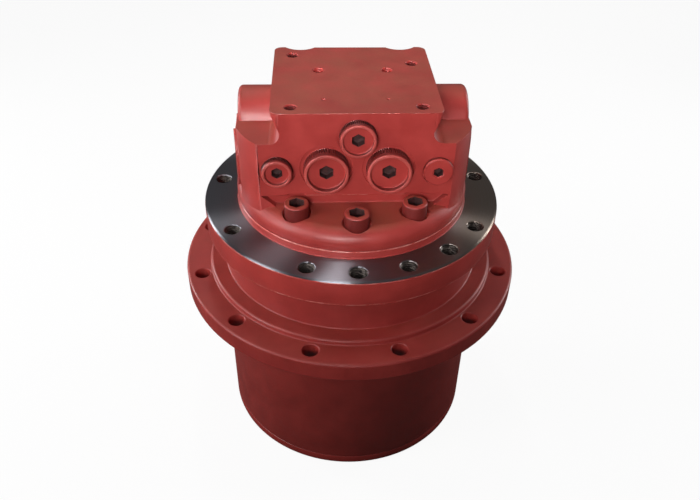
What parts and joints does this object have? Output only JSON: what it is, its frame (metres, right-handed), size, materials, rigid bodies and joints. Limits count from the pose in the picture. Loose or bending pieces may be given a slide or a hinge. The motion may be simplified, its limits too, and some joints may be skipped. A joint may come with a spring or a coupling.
{
  "type": "excavator final drive",
  "caption": "Red final drive of a compact excavator: hydraulic travel motor with valve block, face seal, two-stage planetary hub and sprocket flange, turning as one geared train",
  "frame": {"origin": "on the spin axis, in the bare mounting face of the frame flange", "axes": "+Z along the spin axis to the valve block, -Y to the front with the plugs, +X to the right of a viewer at the front"},
  "size_m": [0.274, 0.274, 0.308],
  "materials": {
    "red_casting": "semi-gloss red enamel over a machined casting",
    "hub_paint": "semi-gloss red enamel over a turned forging",
    "plug_paint": "semi-gloss red enamel over turned plugs",
    "screw_paint": "red enamel over socket screws",
    "hard_steel": "ground, case-hardened steel",
    "black_steel": "black-oxide steel",
    "seal_iron": "lapped hard iron",
    "dark_iron": "machined nodular iron",
    "bronze": "leaded bronze",
    "nitrile": "black nitrile",
    "friction_lining": "paper friction lining on steel"
  },
  "bodies": {
    "frame_side": {"motor_case": "red_casting", "valve_block": "red_casting", "block_screws": "screw_paint", "timing_plate": "bronze", "top_front_plug": "plug_paint", "left_front_plug": "plug_paint", "right_front_plug": "plug_paint", "large_front_plugs": "plug_paint", "spool_end_plugs": "plug_paint", "relief_valves": "plug_paint", "upper_shaft_bush": "bronze", "shaft_bearing_outer_ring": "hard_steel", "shaft_seal": "nitrile", "brake_steel_plates": "hard_steel", "swash_pivots": "hard_steel", "upper_bearing_inner_ring": "hard_steel", "lower_bearing_inner_ring": "hard_steel", "bearing_nut": "black_steel", "fixed_seal_ring": "seal_iron", "fixed_seal_toric": "nitrile", "fixed_carrier": "dark_iron", "carrier_screws": "black_steel", "second_stage_pins": "hard_steel", "brake_springs": "hard_steel"},
    "hub_side": {"hub": "hub_paint", "ring_gear": "hard_steel", "end_cover": "hub_paint", "cover_screws": "screw_paint", "cover_plugs": "plug_paint", "upper_bearing_outer_ring": "hard_steel", "lower_bearing_outer_ring": "hard_steel", "rotating_seal_ring": "seal_iron", "rotating_seal_toric": "nitrile"},
    "upper_rollers": {"upper_bearing_rollers": "hard_steel"},
    "lower_rollers": {"lower_bearing_rollers": "hard_steel"},
    "shaft_side": {"motor_shaft": "hard_steel", "cylinder_block": "hard_steel", "pistons": "hard_steel", "slippers": "bronze", "retainer_plate": "hard_steel", "retainer_ball": "hard_steel", "brake_friction_plates": "friction_lining", "shaft_bearing_inner_ring": "hard_steel", "first_stage_sun": "hard_steel"},
    "shaft_rollers": {"shaft_bearing_rollers": "hard_steel"},
    "first_carrier": {"first_stage_carrier": "dark_iron", "first_stage_pins": "hard_steel", "second_stage_sun": "hard_steel"},
    "swash": {"swash_plate": "hard_steel"},
    "brake_release_piston": {"brake_piston": "hard_steel"},
    "spool": {"counterbalance_spool": "hard_steel", "counterbalance_springs": "hard_steel"},
    "first_planet_1": {"first_stage_planet_1": "hard_steel"},
    "first_planet_2": {"first_stage_planet_2": "hard_steel"},
    "first_planet_3": {"first_stage_planet_3": "hard_steel"},
    "second_planet_1": {"second_stage_planet_1": "hard_steel"},
    "second_planet_2": {"second_stage_planet_2": "hard_steel"},
    "second_planet_3": {"second_stage_planet_3": "hard_steel"},
    "second_planet_4": {"second_stage_planet_4": "hard_steel"}
  },
  "joints": [
    {"name": "hub_spin", "type": "hinge", "parent": "frame_side", "child": "hub_side", "pos_m": [0, 0, -0.07], "axis": [0, 0, 1], "continuous": true},
    {"name": "upper_rollers_spin", "type": "hinge", "parent": "frame_side", "child": "upper_rollers", "pos_m": [0, 0, -0.056], "axis": [0, 0, 1], "continuous": true},
    {"name": "lower_rollers_spin", "type": "hinge", "parent": "frame_side", "child": "lower_rollers", "pos_m": [0, 0, -0.1015], "axis": [0, 0, 1], "continuous": true},
    {"name": "shaft_spin", "type": "hinge", "parent": "frame_side", "child": "shaft_side", "pos_m": [0, 0, -0.05], "axis": [0, 0, 1], "continuous": true},
    {"name": "shaft_rollers_spin", "type": "hinge", "parent": "frame_side", "child": "shaft_rollers", "pos_m": [0, 0, -0.101], "axis": [0, 0, 1], "continuous": true},
    {"name": "first_carrier_spin", "type": "hinge", "parent": "frame_side", "child": "first_carrier", "pos_m": [0, 0, -0.1775], "axis": [0, 0, 1], "continuous": true},
    {"name": "first_planet_1_spin", "type": "hinge", "parent": "first_carrier", "child": "first_planet_1", "pos_m": [0, 0.05063, -0.191], "axis": [0, 0, 1], "continuous": true},
    {"name": "first_planet_2_spin", "type": "hinge", "parent": "first_carrier", "child": "first_planet_2", "pos_m": [-0.04384, -0.02531, -0.191], "axis": [0, 0, 1], "continuous": true},
    {"name": "first_planet_3_spin", "type": "hinge", "parent": "first_carrier", "child": "first_planet_3", "pos_m": [0.04384, -0.02531, -0.191], "axis": [0, 0, 1], "continuous": true},
    {"name": "second_planet_1_spin", "type": "hinge", "parent": "frame_side", "child": "second_planet_1", "pos_m": [0.054, 0, -0.152], "axis": [0, 0, 1], "continuous": true},
    {"name": "second_planet_2_spin", "type": "hinge", "parent": "frame_side", "child": "second_planet_2", "pos_m": [0, 0.054, -0.152], "axis": [0, 0, 1], "continuous": true},
    {"name": "second_planet_3_spin", "type": "hinge", "parent": "frame_side", "child": "second_planet_3", "pos_m": [-0.054, 0, -0.152], "axis": [0, 0, 1], "continuous": true},
    {"name": "second_planet_4_spin", "type": "hinge", "parent": "frame_side", "child": "second_planet_4", "pos_m": [0, -0.054, -0.152], "axis": [0, 0, 1], "continuous": true},
    {"name": "swash_tilt", "type": "hinge", "parent": "frame_side", "child": "swash", "pos_m": [0, 0, -0.09], "axis": [1, 0, 0], "range_deg": [-6, 0]},
    {"name": "brake_release", "type": "slide", "parent": "frame_side", "child": "brake_release_piston", "axis": [0, 0, 1], "range_m": [0, 0.0015], "stiffness_N_per_m": 20000, "deforming": ["brake_springs"]},
    {"name": "spool_shift", "type": "slide", "parent": "frame_side", "child": "spool", "axis": [1, 0, 0], "range_m": [-0.006, 0.006], "stiffness_N_per_m": 6000}
  ],
  "couplings": [
    {"joint": "upper_rollers_spin", "follows": "hub_spin", "ratio": 0.52815},
    {"joint": "lower_rollers_spin", "follows": "hub_spin", "ratio": 0.52815},
    {"joint": "shaft_spin", "follows": "hub_spin", "ratio": -39},
    {"joint": "shaft_rollers_spin", "follows": "hub_spin", "ratio": -15.685},
    {"joint": "first_carrier_spin", "follows": "hub_spin", "ratio": -4.3333},
    {"joint": "first_planet_1_spin", "follows": "hub_spin", "ratio": 12.606},
    {"joint": "first_planet_2_spin", "follows": "hub_spin", "ratio": 12.606},
    {"joint": "first_planet_3_spin", "follows": "hub_spin", "ratio": 12.606},
    {"joint": "second_planet_1_spin", "follows": "hub_spin", "ratio": 2.6},
    {"joint": "second_planet_2_spin", "follows": "hub_spin", "ratio": 2.6},
    {"joint": "second_planet_3_spin", "follows": "hub_spin", "ratio": 2.6},
    {"joint": "second_planet_4_spin", "follows": "hub_spin", "ratio": 2.6}
  ]
}
